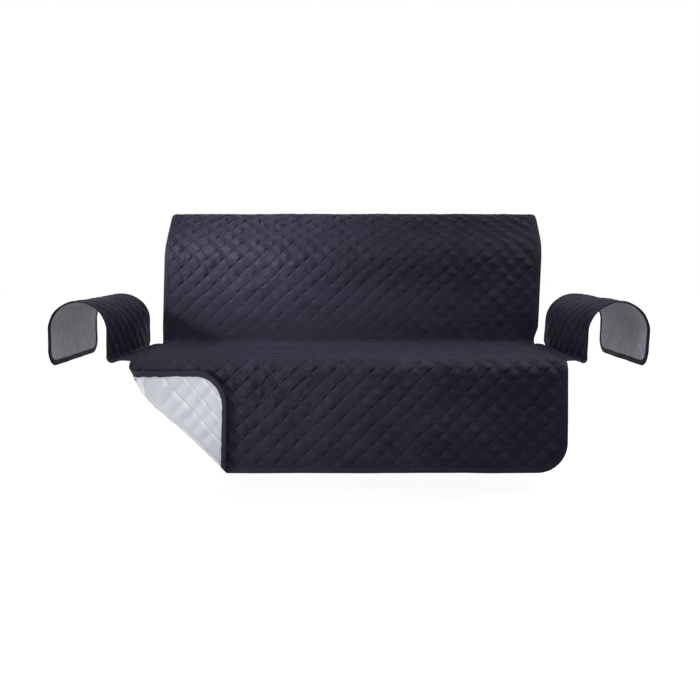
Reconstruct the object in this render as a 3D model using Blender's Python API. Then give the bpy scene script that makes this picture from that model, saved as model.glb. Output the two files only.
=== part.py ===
"""A quilted sofa cover in its draped form: one long panel that runs from the front hem over the seat,
up the back and over its top, and an arm flap sewn to each side of the seat.

The frame: +Z up, the front faces -Y, and the origin is under the middle of the top of the back.
Each piece is drawn flat first, as a maker cuts it, in pattern coordinates (u across, v along, n out
of the cloth's face), and is then laid on a profile of straight runs and bends.
"""

import math
from collections import namedtuple

import bmesh
import bpy
from mathutils import Vector

# Cloth and quilting: the diamonds' two pitches, the flat sheet and how far a diamond's crown stands on it
DIAMOND_ACROSS = 0.064
DIAMOND_ALONG = 0.062
SHEET = 0.002
PUFF = 0.0045
LINING = 0.001
GAP = 0.0003

# The folded tape that binds the cut edges, and the plain margin that it covers
TAPE = 0.001
TAPE_WIDTH = 0.017
TAPE_END_GAP = 0.0015
MARGIN = TAPE_WIDTH + 0.002

# How many half diamonds lie inside the margins of each piece
PANEL_CELLS = (44, 60)
FLAP_CELLS = (18, 14)

PANEL_SIZE = (
    PANEL_CELLS[0] * DIAMOND_ACROSS / 2 + 2 * MARGIN,
    PANEL_CELLS[1] * DIAMOND_ALONG / 2 + 2 * MARGIN,
)
FLAP_SIZE = (
    FLAP_CELLS[0] * DIAMOND_ACROSS / 2 + 2 * MARGIN,
    FLAP_CELLS[1] * DIAMOND_ALONG / 2 + 2 * MARGIN,
)

PANEL_CORNER = 0.100
FLAP_CORNER = 0.060
CORNER_STEPS = 6

# The form that the cover is laid on, standing on its own floor with the front of its seat near y = 0
HEM_HEIGHT = 0.112
FRONT_Y = 0.004
LARGEST_BEND = math.radians(23)

# The seam between the seat and a flap: where it starts and ends, the two places that give its line, the
# gap along it, and how much a flap turns inwards towards the back
SEAT_FRONT_Y = 0.036
SEAT_REAR_Y = 0.515
SEAM_SPAN = (0.080, 0.490)
SEAM_GAP = 0.0005
FLARE = 0.080

# Each run of the long panel: its length, its turn (left is positive), and the edges' x at its end
Run = namedtuple("Run", "name length turn left right")
PANEL_START = Run("front hem", 0, 0, -0.7265, 0.7245)
PANEL_RUNS = (
    Run("front drop", 0.335, 0, -0.7275, 0.7180),
    Run("seat front roll", 0.062, -90, -0.7275, 0.7180),
    Run("seat", 0.478, 0, -0.7215, 0.7105),
    Run("crease", 0.036, 90, -0.7215, 0.7105),
    Run("back foot", 0.040, 0, -0.7215, 0.7250),
    Run("back face", 0.244, 0, -0.7100, 0.7310),
    Run("back shoulder", 0.100, -47, -0.7060, 0.7350),
    Run("back slope", 0.120, -5, -0.7050, 0.7360),
    Run("crest front", 0.070, -38, -0.7050, 0.7360),
    Run("crest", 0.060, 0, -0.7050, 0.7360),
    Run("crest rear", 0.094, -90, -0.7080, 0.7340),
    Run("rear drop", 0.259, 0, -0.7120, 0.7300),
)

# Each run of an arm flap, out from the seam: its edges' y, how much of the flare it takes, and how far
# in the right flap stands from the left one's form
FlapRun = namedtuple("FlapRun", "name length turn front rear flare lean")
FLAP_START = FlapRun("seam", 0, 0, SEAT_FRONT_Y, SEAT_REAR_Y, 0, 0)
FLAP_RUNS = (
    FlapRun("seam margin", MARGIN, 0, 0.040, 0.516, 0.1, 0.000),
    FlapRun("wing", 0.045, -22, 0.048, 0.521, 0.5, 0.005),
    FlapRun("crevice", 0.036, 112, 0.060, 0.528, 1, 0.012),
    FlapRun("inner face", 0.085, 0, 0.066, 0.530, 1, 0.006),
    FlapRun("arm roll", 0.308, -180, 0.066, 0.530, 0.8, 0.000),
    FlapRun("outer drop", 0.121, 0, 0.066, 0.530, 0.8, 0.000),
)

# The corner that is turned up: where its crease crosses the hem, the angle at which the crease climbs, the
# bend's radius, and how much further the corner reaches than a plain mirror image of it
FOLD_FOOT = -0.386
FOLD_ANGLE = math.radians(45)
FOLD_RADIUS = 0.008
FOLD_STRETCH = 1.12
FOLD_STEPS = 6

NAVY = (0.036, 0.035, 0.062, 1)
NAVY_BINDING = (0.026, 0.026, 0.046, 1)
PALE = (0.60, 0.62, 0.66, 1)

# Distances that count as none: in a cut or a weld, and between a point and a line of the pattern
WELD = 1e-6
NEAR = 1e-5


def turned(angle):
    """The unit vector at this angle from the first axis."""
    return Vector((math.cos(angle), math.sin(angle)))


class Profile:
    """A chain of bends and straight runs, sampled at stations and joined by straight lines.

    Its values are places in a plane, and what else a run states at its end. Offsets to the left
    are mitred, so that layers keep their distance round a bend.
    """

    def __init__(self, origin, heading, first, runs, rows):
        self.origin, self.heading = Vector(origin), math.radians(heading)
        self.first, self.runs = first, runs
        self.stations = self.split(rows)
        self.points = [self.trace(distance) for distance in self.stations]
        self.mitres = self.find_mitres()
        self.columns = {}

    def trace(self, distance):
        """The place on the smooth chain at a distance along it, which runs straight past both ends."""
        heading = self.heading
        place = self.origin + turned(heading) * min(distance, 0)
        for run in self.runs:
            part = min(max(distance / run.length, 0), 1)
            turn = math.radians(run.turn) * part
            chord = run.length * part
            if turn:
                chord *= math.sin(turn / 2) / (turn / 2)
            place += turned(heading + turn / 2) * chord
            heading += turn
            distance -= run.length
        return place + turned(heading) * max(distance, 0)

    def heading_at(self, distance):
        heading = self.heading
        for run in self.runs:
            heading += math.radians(run.turn) * min(max(distance / run.length, 0), 1)
            distance -= run.length
        return heading

    def split(self, rows):
        """The rows, with more stations where the profile bends sharply between two of them."""
        stations = [rows[0]]
        for low, high in zip(rows, rows[1:]):
            middle = (low + high) / 2
            turns = [self.heading_at(place) for place in (low, middle, high)]
            bend = abs(turns[1] - turns[0]) + abs(turns[2] - turns[1])
            steps = max(1, math.ceil(bend / LARGEST_BEND - 0.01))
            stations += [low + (high - low) * step / steps for step in range(1, steps + 1)]
        return stations

    def find_mitres(self):
        sides = []
        for low, high in zip(self.points, self.points[1:]):
            along = (high - low).normalized()
            sides.append(Vector((-along.y, along.x)))
        before, after = [sides[0]] + sides, sides + [sides[-1]]
        return [(a + b) / (1 + a.dot(b)) for a, b in zip(before, after)]

    def between(self, values, distance):
        """One of the station lists, read at a distance along the profile."""
        last = len(self.stations) - 2
        index = sum(station < distance for station in self.stations[1:-1])
        index = min(index, last)
        low, high = self.stations[index], self.stations[index + 1]
        part = (distance - low) / (high - low)
        return values[index] * (1 - part) + values[index + 1] * part

    def at(self, distance, offset):
        return self.between(self.points, distance) + self.between(self.mitres, distance) * offset

    def stated(self, field, distance):
        """A run's column, blended along the run."""
        value = getattr(self.first, field)
        for run in self.runs:
            part = min(max(distance / run.length, 0), 1)
            value += (getattr(run, field) - value) * part
            distance -= run.length
        return value

    def column(self, field, distance):
        """The same, read between the stations, as the places are."""
        if field not in self.columns:
            self.columns[field] = [self.stated(field, station) for station in self.stations]
        return self.between(self.columns[field], distance)

    def reach(self, across):
        """How far along the profile its first coordinate first passes this value."""
        places = list(zip(self.stations, self.points))
        for (low, before), (high, after) in zip(places, places[1:]):
            if before.x <= across < after.x:
                return low + (high - low) * (across - before.x) / (after.x - before.x)
        return self.stations[-1]


def rows_of(cells, half_pitch):
    """Where the quilting's half rows lie on a piece, and its two cut edges."""
    inner = [MARGIN + half_pitch * index for index in range(cells + 1)]
    return [0.0] + inner + [inner[-1] + MARGIN]


def cloth_material(name, colour, roughness):
    material = bpy.data.materials.new(name)
    material.use_nodes = True
    shader = material.node_tree.nodes["Principled BSDF"]
    shader.inputs["Base Color"].default_value = colour
    shader.inputs["Roughness"].default_value = roughness
    shader.inputs["Metallic"].default_value = 0
    material.diffuse_color = colour
    return material


def corner_centre(size, reach, corner):
    """The point this far in from both edges at a corner, which is given as (right, top)."""
    return Vector([size[axis] - reach if corner[axis] else reach for axis in (0, 1)])


def corner_arc(size, radius, corner, inset):
    """The quarter circle that rounds a corner, anticlockwise, moved in by the inset."""
    start = math.atan2(corner[1] - 0.5, corner[0] - 0.5) - math.pi / 4
    angles = [start + math.pi / 2 * step / CORNER_STEPS for step in range(CORNER_STEPS + 1)]
    return [corner_centre(size, radius, corner) + turned(angle) * (radius - inset) for angle in angles]


def cut(bm, place, normal, clear=False):
    geometry = bm.verts[:] + bm.edges[:] + bm.faces[:]
    bmesh.ops.bisect_plane(
        bm, geom=geometry, dist=WELD, plane_co=place, plane_no=normal, clear_outer=clear
    )


def made_points(made):
    return [item for item in made["geom"] if isinstance(item, bmesh.types.BMVert)]


def quilted_grid(cells, pitch):
    """The flat cloth inside the margins, split along its stitch lines into half diamonds' triangles."""
    half = (pitch[0] / 2, pitch[1] / 2)
    bm = bmesh.new()
    size = (cells[0] * half[0], cells[1] * half[1])
    bmesh.ops.create_grid(bm, x_segments=cells[0], y_segments=cells[1], size=0.5)
    bmesh.ops.scale(bm, vec=(size[0], size[1], 1), verts=bm.verts)
    bmesh.ops.translate(bm, vec=(size[0] / 2 + MARGIN, size[1] / 2 + MARGIN, 0), verts=bm.verts)
    for slope in (1, -1):
        normal = Vector((half[1], -slope * half[0], 0))
        first = 0 if slope < 0 else -cells[1]
        last = cells[0] + cells[1] if slope < 0 else cells[0]
        for line in range(first + first % 2, last + 1, 2):
            cut(bm, (MARGIN + line * half[0], MARGIN, 0), normal)
    return bm


def round_corners(bm, size, radius, corners):
    """Cuts the quilting's corners to a round that is the margin inside the cloth's own."""
    for corner in corners:
        points = corner_arc(size, radius, corner, MARGIN)
        for low, high in zip(points, points[1:]):
            along = high - low
            cut(bm, low.to_3d(), (along.y, -along.x, 0), clear=True)


def add_margin(bm, size, radius, corners):
    """A plain strip all round, under the binding and at the seam."""
    border = [edge for edge in bm.edges if edge.is_boundary]
    for vert in made_points(bmesh.ops.extrude_edge_only(bm, edges=border)):
        corner = tuple(int(vert.co[axis] > size[axis] / 2) for axis in (0, 1))
        away = vert.co.xy - corner_centre(size, radius, corner)
        outside = all((away[axis] > 0) == bool(corner[axis]) for axis in (0, 1))
        if corner in corners and outside and away.length > WELD:
            vert.co.xy += away.normalized() * MARGIN
            continue
        for axis in (0, 1):
            if abs(vert.co[axis] - MARGIN) < NEAR:
                vert.co[axis] = 0
            if abs(vert.co[axis] - size[axis] + MARGIN) < NEAR:
                vert.co[axis] = size[axis]


def is_crown(vert, pitch, inner_border):
    """Whether this point is the middle of a diamond."""
    steps = [(vert.co[axis] - MARGIN) / (pitch[axis] / 2) for axis in (0, 1)]
    on_grid = all(abs(step - round(step)) * pitch[0] < NEAR for step in steps)
    return on_grid and sum(round(step) for step in steps) % 2 == 1 and vert not in inner_border


def quilted_sheet(cells, size, radius, corners):
    """The whole flat piece as a closed solid with a raised crown in each diamond."""
    pitch = (DIAMOND_ACROSS, DIAMOND_ALONG)
    bm = quilted_grid(cells, pitch)
    round_corners(bm, size, radius, corners)
    inner_border = {vert for vert in bm.verts if vert.is_boundary}
    crowns = [vert for vert in bm.verts if is_crown(vert, pitch, inner_border)]
    crown_places = {(round(vert.co.x, 5), round(vert.co.y, 5)) for vert in crowns}
    add_margin(bm, size, radius, corners)
    for vert in made_points(bmesh.ops.extrude_face_region(bm, geom=bm.faces[:])):
        crown = (round(vert.co.x, 5), round(vert.co.y, 5)) in crown_places
        vert.co.z = SHEET + (PUFF if crown else 0)
    return bm


def outline(size, radius, corners, inset=0):
    """The cut edge of a piece, anticlockwise from the near left corner."""
    points = []
    for corner in ((0, 0), (1, 0), (1, 1), (0, 1)):
        if corner in corners:
            points += corner_arc(size, radius, corner, inset)
        else:
            points.append(corner_centre(size, inset, corner))
    return points


def lining_sheet(size, radius, corners):
    """The plain reverse under a piece, cut a little smaller all round."""
    bm = bmesh.new()
    verts = [bm.verts.new(point.to_3d()) for point in outline(size, radius, corners, GAP)]
    face = bm.faces.new(verts)
    made = bmesh.ops.extrude_face_region(bm, geom=[face])
    bmesh.ops.translate(bm, vec=(0, 0, LINING), verts=made_points(made))
    bmesh.ops.translate(bm, vec=(0, 0, -GAP - LINING), verts=bm.verts)
    return bm


def curve_from(name, points, closed):
    data = bpy.data.curves.new(name, "CURVE")
    data.dimensions = "2D"
    data.fill_mode = "NONE"
    spline = data.splines.new("POLY")
    spline.points.add(len(points) - 1)
    for point, place in zip(spline.points, points):
        point.co = (place[0], place[1], 0, 1)
    spline.use_cyclic_u = closed
    return bpy.data.objects.new(name, data)


def tape_section(under):
    """The folded tape's section: x is out past the cut edge, y is out of the cloth's face."""
    top, bottom = SHEET + GAP, -under - GAP
    return (
        (-TAPE_WIDTH, top),
        (GAP, top),
        (GAP, bottom),
        (-TAPE_WIDTH, bottom),
        (-TAPE_WIDTH, bottom - TAPE),
        (GAP + TAPE, bottom - TAPE),
        (GAP + TAPE, top + TAPE),
        (-TAPE_WIDTH, top + TAPE),
    )


def binding_tape(path, under, collection):
    """A folded tape swept anticlockwise along a cut edge, so that the cloth is on its left."""
    section = curve_from("tape_section", tape_section(under), True)
    tape = curve_from("tape", path, False)
    tape.data.bevel_mode = "OBJECT"
    tape.data.bevel_object = section
    tape.data.use_fill_caps = True
    for guide in (section, tape):
        collection.objects.link(guide)
    graph = bpy.context.evaluated_depsgraph_get()
    mesh = bpy.data.meshes.new_from_object(tape.evaluated_get(graph))
    bm = bmesh.new()
    bm.from_mesh(mesh)
    bmesh.ops.remove_doubles(bm, verts=bm.verts, dist=WELD)
    for guide in (section, tape):
        curve = guide.data
        bpy.data.objects.remove(guide)
        bpy.data.curves.remove(curve)
    bpy.data.meshes.remove(mesh)
    return bm


def fold_profile():
    """The section across the crease of the turned-up corner."""
    bend = math.pi * FOLD_RADIUS
    reach = PANEL_SIZE[0]
    flat = Run("flat", 0, 0, 0, 0)
    runs = (Run("bend", bend, 180, 0, 0), Run("turned corner", reach, 0, 0, 0))
    rows = [bend * step / FOLD_STEPS for step in range(FOLD_STEPS + 1)]
    return Profile((0, 0), 0, flat, runs, [-reach] + rows + [bend + reach])


def turn_up_corner(bm, fold):
    """Folds the near left corner over on to the face, round a small bend."""
    over = Vector((-math.sin(FOLD_ANGLE), -math.cos(FOLD_ANGLE), 0))
    foot = Vector((PANEL_SIZE[0] / 2 + FOLD_FOOT, 0, 0))
    for station in fold.stations[1:-1]:
        cut(bm, foot + over * station / FOLD_STRETCH, over)
    for vert in bm.verts:
        reach = (vert.co - foot).dot(over)
        if reach > 0:
            level = vert.co.z
            vert.co.z = 0
            side, height = fold.at(reach * FOLD_STRETCH, level)
            vert.co += over * (side - reach)
            vert.co.z = height


def drape_panel(bm, profile, origin):
    """Lays a piece in the long panel's pattern on the sofa's form."""
    for station in profile.stations[1:-1]:
        cut(bm, (0, station, 0), (0, 1, 0))
    for vert in bm.verts:
        u, v, n = vert.co
        y, z = profile.at(v, n)
        left, right = profile.column("left", v), profile.column("right", v)
        x = left + (right - left) * u / PANEL_SIZE[0]
        vert.co = Vector((x, y, z)) - origin


def drape_flap(bm, profile, seam, side, origin):
    """Lays a piece in an arm flap's pattern over the arm on this side (-1 is the left one)."""
    for station in profile.stations[1:-1]:
        cut(bm, (station, 0, 0), (1, 0, 0))
    for vert in bm.verts:
        u, v, n = vert.co
        out, z = profile.at(u, n)
        front, rear = profile.column("front", u), profile.column("rear", u)
        y = front + (rear - front) * v / FLAP_SIZE[1]
        out += seam(side, y) - FLARE * profile.column("flare", u) * (y - SEAT_FRONT_Y)
        if side > 0:
            out -= profile.column("lean", u)
        vert.co = Vector((side * out, y, z)) - origin


def finish(bm, name, material, collection):
    """Turns the faces outwards and makes the piece an object of its own."""
    bmesh.ops.recalc_face_normals(bm, faces=bm.faces)
    if bm.calc_volume(signed=True) < 0:
        bmesh.ops.reverse_faces(bm, faces=bm.faces)
    mesh = bpy.data.meshes.new(name)
    bm.to_mesh(mesh)
    bm.free()
    mesh.materials.append(material)
    collection.objects.link(bpy.data.objects.new(name, mesh))


def build():
    for old in list(bpy.data.objects):
        bpy.data.objects.remove(old)
    collection = bpy.data.collections.new("quilted_sofa_cover")
    bpy.context.scene.collection.children.link(collection)
    navy = cloth_material("navy_quilting", NAVY, 0.75)
    tape = cloth_material("navy_binding", NAVY_BINDING, 0.7)
    pale = cloth_material("pale_reverse", PALE, 0.85)

    panel_rows = rows_of(PANEL_CELLS[1], DIAMOND_ALONG / 2)
    panel = Profile((FRONT_Y, HEM_HEIGHT), 90, PANEL_START, PANEL_RUNS, panel_rows)
    top = max(panel.points, key=lambda point: point.y)
    origin = Vector((0, top.x, top.y - GAP - LINING))
    fold = fold_profile()

    def seam(side, y):
        """The straight side edge of the seat, and the gap that the flap keeps to it."""
        field = "left" if side < 0 else "right"
        near, far = (abs(panel.column(field, panel.reach(end))) for end in SEAM_SPAN)
        along = (y - SEAM_SPAN[0]) / (SEAM_SPAN[1] - SEAM_SPAN[0])
        return near + (far - near) * along + SEAM_GAP

    def lay_on_panel(bm, name, material):
        turn_up_corner(bm, fold)
        drape_panel(bm, panel, origin)
        finish(bm, name, material, collection)

    corners = ((0, 0), (1, 0), (1, 1), (0, 1))
    lay_on_panel(quilted_sheet(PANEL_CELLS, PANEL_SIZE, PANEL_CORNER, corners), "main_panel", navy)
    lay_on_panel(lining_sheet(PANEL_SIZE, PANEL_CORNER, corners), "main_lining", pale)
    edge = outline(PANEL_SIZE, PANEL_CORNER, corners)
    half = len(edge) // 2
    clear = GAP + TAPE + TAPE_END_GAP
    notch = panel.reach(SEAT_FRONT_Y - clear)
    rear = panel.reach(SEAT_REAR_Y + clear)
    front_path = [(0, notch)] + edge[:half] + [(PANEL_SIZE[0], notch)]
    back_path = [(PANEL_SIZE[0], rear)] + edge[half:] + [(0, rear)]
    for path, name in ((front_path, "front_binding"), (back_path, "back_binding")):
        lay_on_panel(binding_tape(path, GAP + LINING, collection), name, tape)

    seat_height = panel.at(panel.reach((SEAT_FRONT_Y + SEAT_REAR_Y) / 2), 0).y
    flap_rows = rows_of(FLAP_CELLS[0], DIAMOND_ACROSS / 2)
    flap = Profile((0, seat_height), 0, FLAP_START, FLAP_RUNS, flap_rows)
    flap_corners = ((1, 0), (1, 1))
    flap_edge = outline(FLAP_SIZE, FLAP_CORNER, flap_corners)
    for side, word in ((-1, "left"), (1, "right")):
        sheet = quilted_sheet(FLAP_CELLS, FLAP_SIZE, FLAP_CORNER, flap_corners)
        drape_flap(sheet, flap, seam, side, origin)
        finish(sheet, "arm_flap_" + word, navy, collection)
        binding = binding_tape(flap_edge, 0, collection)
        drape_flap(binding, flap, seam, side, origin)
        finish(binding, "arm_binding_" + word, tape, collection)


build()
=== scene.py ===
"""The looks of a quilted slipcover: navy quilting with a pale reverse, bound all round with navy tape.

Each cloth is worked out flat first, in metres of its own pattern (u across, v along, n out of its
face), and is then laid on the form that the CAD solids have.
"""

import math
from collections import namedtuple

import bmesh
import bpy
import numpy as np
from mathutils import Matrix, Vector


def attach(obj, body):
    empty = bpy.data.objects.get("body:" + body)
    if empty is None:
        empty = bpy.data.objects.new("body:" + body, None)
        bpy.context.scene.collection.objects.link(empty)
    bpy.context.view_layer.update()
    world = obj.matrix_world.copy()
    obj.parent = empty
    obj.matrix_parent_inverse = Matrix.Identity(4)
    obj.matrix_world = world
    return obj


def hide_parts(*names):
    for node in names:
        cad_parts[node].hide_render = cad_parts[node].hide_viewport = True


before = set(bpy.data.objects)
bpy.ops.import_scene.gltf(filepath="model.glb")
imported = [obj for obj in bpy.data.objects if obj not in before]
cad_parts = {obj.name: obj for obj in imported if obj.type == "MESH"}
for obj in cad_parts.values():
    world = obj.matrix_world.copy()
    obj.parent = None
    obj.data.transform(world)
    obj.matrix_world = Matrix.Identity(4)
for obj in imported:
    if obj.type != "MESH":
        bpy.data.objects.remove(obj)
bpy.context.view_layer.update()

# The cut pieces, as in the CAD source
DIAMOND = (0.064, 0.062)
TAPE_WIDTH = 0.017
MARGIN = TAPE_WIDTH + 0.002
PANEL_CELLS = (44, 60)
FLAP_CELLS = (18, 14)
PANEL_SIZE = tuple(cells * pitch / 2 + 2 * MARGIN for cells, pitch in zip(PANEL_CELLS, DIAMOND))
FLAP_SIZE = tuple(cells * pitch / 2 + 2 * MARGIN for cells, pitch in zip(FLAP_CELLS, DIAMOND))
# Radii of the rounded corners; the front left one, which is turned up, has slackened a little
PANEL_CORNERS = {(0, 0): 0.112, (1, 0): 0.100, (1, 1): 0.100, (0, 1): 0.100}
FLAP_CORNERS = {(1, 0): 0.060, (1, 1): 0.060}

# The form that the cover lies on, on its own floor, and the part's origin on it
HEM_HEIGHT = 0.112
FRONT_Y = 0.004
SEAT_FRONT_Y = 0.036
SEAT_REAR_Y = 0.515
SEAM_SPAN = (0.080, 0.490)
FLARE = 0.080
ORIGIN = np.array((0, 0.76135, 0.98153))

Run = namedtuple("Run", "name length turn left right")
PANEL_START = Run("front hem", 0, 0, -0.7265, 0.7245)
PANEL_RUNS = (
    Run("front drop", 0.335, 0, -0.7275, 0.7180),
    Run("seat front roll", 0.062, -90, -0.7275, 0.7180),
    Run("seat", 0.478, 0, -0.7215, 0.7105),
    Run("crease in", 0.011, 12, -0.7215, 0.7105),
    Run("crease", 0.014, 66, -0.7215, 0.7105),
    Run("crease out", 0.011, 12, -0.7215, 0.7105),
    Run("back foot", 0.040, 0, -0.7215, 0.7250),
    Run("back face", 0.244, 0, -0.7100, 0.7310),
    Run("back shoulder", 0.100, -47, -0.7060, 0.7350),
    Run("back slope", 0.120, -5, -0.7050, 0.7360),
    Run("crest front", 0.070, -38, -0.7050, 0.7360),
    Run("crest", 0.060, 0, -0.7050, 0.7360),
    Run("crest rear", 0.094, -90, -0.7080, 0.7340),
    Run("rear drop", 0.259, 0, -0.7120, 0.7300),
)
FlapRun = namedtuple("FlapRun", "name length turn front rear flare lean")
FLAP_START = FlapRun("seam", 0, 0, SEAT_FRONT_Y, SEAT_REAR_Y, 0, 0)
FLAP_RUNS = (
    FlapRun("seam margin", MARGIN, 0, 0.040, 0.516, 0.1, 0.000),
    FlapRun("wing", 0.045, -22, 0.048, 0.521, 0.5, 0.005),
    FlapRun("crevice", 0.036, 112, 0.060, 0.528, 1, 0.012),
    FlapRun("inner face", 0.085, 0, 0.066, 0.530, 1, 0.006),
    FlapRun("arm roll", 0.308, -180, 0.066, 0.530, 0.8, 0.000),
    FlapRun("outer drop", 0.121, 0, 0.066, 0.530, 0.8, 0.000),
)

# The turned-up corner. Its fold runs from the hem to the side edge and bows out between them; a skew
# above 1 puts the most of the bow nearer the side edge
FOLD_AT_HEM = 0.3297
FOLD_AT_SIDE = 0.3595
FOLD_BOW = 0.0273
FOLD_SKEW = 2.25
FOLD_RADIUS = 0.008
# The cloth past the fold: how much it is drawn out, how far it slides along the fold for each metre
# past it, and the least and the most length over which the bow is eased straight again
FOLD_STRETCH = 1.05
FOLD_SLIDE = 0.145
FOLD_EASE = (0.012, 0.080)
# How many lines cut the mesh along the fold
FOLD_CUTS = 20

# Heights out of the cloth's face: its stitch lines, a full pillow on them, and the same of the reverse
VALLEY = 0.0012
PUFF = 0.0068
REVERSE_TOP = -0.0003
REVERSE_PUFF = 0.0040
# How thick each cloth's mesh is
CLOTH = 0.0006
# The quilting starts this far from a seam or in under a tape, and is full this far on
PRESSED = 0.0015
PRESSED_OVER = 0.013

# Soft unevenness in how far the panel and a flap lie from their form, how far the panel slips along
# its form, and how far a seam draws a cloth down
PANEL_UNEVENNESS = 0.0011
FLAP_UNEVENNESS = 0.0009
SLIP = 0.0016
SEAM_SINK = 0.0016

# The pitch and length of the stitches of the quilting, the tapes and the seams
QUILTING_PITCH, QUILTING_STITCH = 0.0070, 0.0052
TAPE_PITCH, TAPE_STITCH = 0.0046, 0.0034
SEAM_PITCH, SEAM_STITCH = 0.0045, 0.0032
# How far a stitch's middle rises, less in the quilting, whose thread is sunk in its valley; how thick
# the thread is; and the share of its length that a stitch has at least
STITCH_RISE, QUILTING_RISE, QUILTING_SINK = 0.0007, 0.0004, 0.0003
THREAD_RADIUS = 0.00042
SHORTEST_STITCH = 0.8
# A tape's stitches: how far in from the edge they lie, and each side's name, height and way up
TAPE_STITCH_LINE = 0.0148
TAPE_SIDES = (("face", 0.00215, 1), ("reverse", -0.00185, -1))
# The gap between the panel's tapes and its seams, and the spacing of a tape's sections
TAPE_GAP = 0.0028
TAPE_SPACING = 0.004
# How far inside the outline the stitches lie at a seam, and how near they come at a tape
SEAM_LINE = 0.004
QUILTING_END = TAPE_WIDTH + 0.001

# Where a diamond's grid lines lie between two stitch lines, on the face and on the reverse
FACE_LINES = (0, 0.085, 0.30, 0.70, 0.915)
REVERSE_LINES = (0, 0.13, 0.50, 0.87)
# The powers of the reverse's pillows, whose rising stitch lines are narrow and faint
REVERSE_POWERS = (0.15, 0.8)


# ---------------- forms in the plane


def softened(values, width, step):
    """The values with their corners rounded over this distance."""
    reach = max(1, round(width / step))
    weights = np.hanning(2 * reach + 3)[1:-1]
    padded = np.pad(values, reach, mode="edge")
    return np.convolve(padded, weights / weights.sum(), mode="valid")


class Profile:
    """A chain of bends and straight runs in a plane, read smoothly at any distance along it.

    A run also states other values at its end, which change evenly along it.
    """

    STEP = 0.0005
    BEYOND = 0.06

    def __init__(self, origin, heading, first, runs, soften=0.012):
        ends = np.cumsum([0.0] + [run.length for run in runs])
        turns = np.cumsum([heading] + [run.turn for run in runs])
        self.along = np.arange(-self.BEYOND, ends[-1] + self.BEYOND, self.STEP)
        angle = np.radians(np.interp(self.along, ends, turns))
        middle = (angle[1:] + angle[:-1]) / 2
        steps = self.STEP * np.stack((np.cos(middle), np.sin(middle)))
        path = np.concatenate((np.zeros((2, 1)), np.cumsum(steps, axis=1)), axis=1)
        start = [np.interp(0, self.along, axis) for axis in path]
        self.path = [axis - begin + place for axis, begin, place in zip(path, start, origin)]
        self.aside = (-np.sin(angle), np.cos(angle))
        self.columns = {}
        for field in first._fields[3:]:
            stated = np.interp(self.along, ends, [getattr(run, field) for run in (first, *runs)])
            self.columns[field] = softened(stated, soften, self.STEP)

    def at(self, distance, offset):
        """The two coordinates of points this far along it and this far to its left."""
        places = [np.interp(distance, self.along, axis) for axis in self.path]
        sides = [np.interp(distance, self.along, axis) for axis in self.aside]
        return [place + side * offset for place, side in zip(places, sides)]

    def column(self, field, distance):
        return np.interp(distance, self.along, self.columns[field])

    def reach(self, across):
        """How far along the profile its first coordinate first passes this value."""
        index = np.argmax(self.path[0][self.along > 0] > across)
        return self.along[self.along > 0][index]


def smoothstep(value, low=0.0, high=1.0):
    part = np.clip((value - low) / (high - low), 0, 1)
    return part * part * (3 - 2 * part)


def waves(u, v, length, seed, count=7):
    """Smooth unevenness of about this wavelength, of about one unit, the same at every run."""
    draw = np.random.default_rng(seed)
    total = np.zeros_like(u)
    for _ in range(count):
        heading, phase = draw.uniform(0, 2 * math.pi, 2)
        pace = 2 * math.pi / (length * draw.uniform(0.8, 1.35))
        total += np.sin(pace * (u * math.cos(heading) + v * math.sin(heading)) + phase)
    return total / math.sqrt(count / 2)


# ---------------- how the cloths lie


# A soft fold: where it starts and ends on the pattern, its half width, and how far it rises
Fold = namedtuple("Fold", "start end width rise")
PANEL_FOLDS = (
    Fold((0.000, 1.530), (1.446, 1.530), 0.050, 0.0183),
    Fold((0.375, 0.245), (0.470, 0.345), 0.013, 0.0030),
    Fold((0.405, 0.225), (0.520, 0.340), 0.014, -0.0026),
    Fold((0.455, 0.250), (0.545, 0.350), 0.013, 0.0026),
    Fold((0.395, 0.060), (0.430, 0.260), 0.030, -0.0035),
    Fold((1.105, 0.015), (1.090, 0.260), 0.034, -0.0050),
    Fold((1.200, 0.015), (1.215, 0.290), 0.030, 0.0036),
    Fold((1.325, 0.040), (1.335, 0.270), 0.034, -0.0050),
    Fold((0.640, 0.010), (0.660, 0.180), 0.040, 0.0030),
    Fold((0.850, 0.010), (0.835, 0.210), 0.038, -0.0030),
    Fold((0.200, 0.560), (0.620, 0.520), 0.045, 0.0025),
    Fold((0.700, 0.600), (1.250, 0.570), 0.050, -0.0030),
    Fold((0.150, 1.260), (0.640, 1.235), 0.040, 0.0036),
    Fold((0.700, 1.330), (1.180, 1.350), 0.045, -0.0036),
    Fold((1.020, 1.080), (1.330, 1.130), 0.040, -0.0030),
    Fold((0.300, 1.650), (0.330, 1.890), 0.035, -0.0040),
    Fold((0.620, 1.640), (0.600, 1.890), 0.040, 0.0040),
    Fold((0.960, 1.640), (0.990, 1.890), 0.036, -0.0040),
    Fold((1.220, 1.650), (1.200, 1.890), 0.036, 0.0035),
)
FLAP_FOLDS = (
    Fold((0.080, 0.060), (0.210, 0.090), 0.022, -0.0025),
    Fold((0.070, 0.260), (0.200, 0.300), 0.026, 0.0025),
    Fold((0.260, 0.080), (0.420, 0.110), 0.024, 0.0020),
    Fold((0.300, 0.300), (0.470, 0.270), 0.030, -0.0022),
    Fold((0.500, 0.150), (0.610, 0.160), 0.030, -0.0032),
    Fold((0.490, 0.330), (0.610, 0.340), 0.030, 0.0028),
)
# How far the panel lies free of its form along it: hardly in the crease or over the crest
PANEL_LOOSENESS = (
    (0.00, 1.0), (0.33, 0.9), (0.42, 0.7), (0.84, 0.7), (0.88, 0.1), (0.91, 0.1), (0.97, 0.8), (1.35, 1.0),
    (1.43, 0.3), (1.62, 0.3), (1.70, 1.0),
)


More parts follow.
